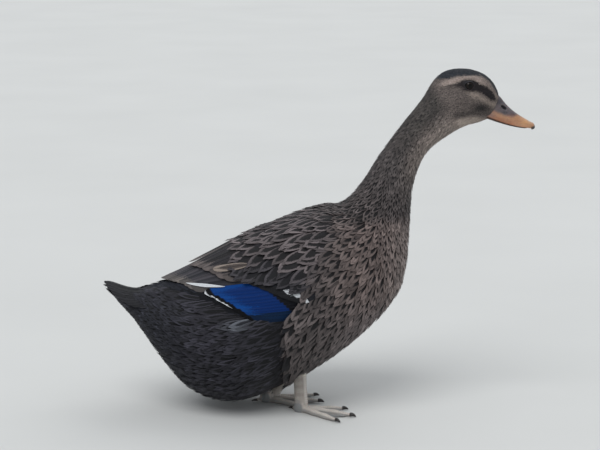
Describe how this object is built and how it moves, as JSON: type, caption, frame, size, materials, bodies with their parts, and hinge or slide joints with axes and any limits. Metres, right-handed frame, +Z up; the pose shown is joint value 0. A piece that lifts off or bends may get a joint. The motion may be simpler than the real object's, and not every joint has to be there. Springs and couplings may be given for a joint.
{
  "type": "duck",
  "caption": "Life-size still model of a standing duck in brown streaked plumage, head raised, wings folded over a blue wing panel, webbed feet flat on the floor.",
  "frame": {"origin": "on the floor, under the middle of the duck's box", "axes": "+X is where the duck faces, +Y its left side, +Z up"},
  "size_m": [0.473, 0.1736, 0.3767],
  "materials": {
    "head_plumage": "soft matt feathers, grey brown with dark streaks, a dark crown and a pale stripe over the eye",
    "neck_plumage": "soft matt feathers, grey brown with fine dark streaks",
    "body_plumage": "soft matt feathers, dark centres with grey-brown edges, near black towards the rear",
    "shoulder_plumage": "long smooth feathers, dark brown with pale fringes",
    "wing_plumage": "smooth flight feathers, glossy blue panel edged in black and white",
    "tail_plumage": "stiff dark brown feathers with a slight sheen",
    "bill": "satin horn, orange towards the tip and dusky grey at the base",
    "nail": "smooth near-black horn",
    "eye": "wet glossy dark brown",
    "leg_skin": "satin scaly skin, greyish tan",
    "claw": "smooth dark horn"
  },
  "bodies": {
    "root": {"trunk": "body_plumage", "neck": "neck_plumage", "head": "head_plumage", "tail": "tail_plumage", "bill_upper": "bill", "bill_lower": "bill", "bill_nail": "nail", "shoulder_feathers_left": "shoulder_plumage", "wing_left": "wing_plumage", "wing_tip_left": "tail_plumage", "eye_left": "eye", "leg_left": "leg_skin", "foot_left": "leg_skin", "claw_inner_left": "claw", "claw_middle_left": "claw", "claw_outer_left": "claw", "claw_hind_left": "claw", "shoulder_feathers_right": "shoulder_plumage", "wing_right": "wing_plumage", "wing_tip_right": "tail_plumage", "eye_right": "eye", "leg_right": "leg_skin", "foot_right": "leg_skin", "claw_inner_right": "claw", "claw_middle_right": "claw", "claw_outer_right": "claw", "claw_hind_right": "claw"}
  },
  "joints": []
}
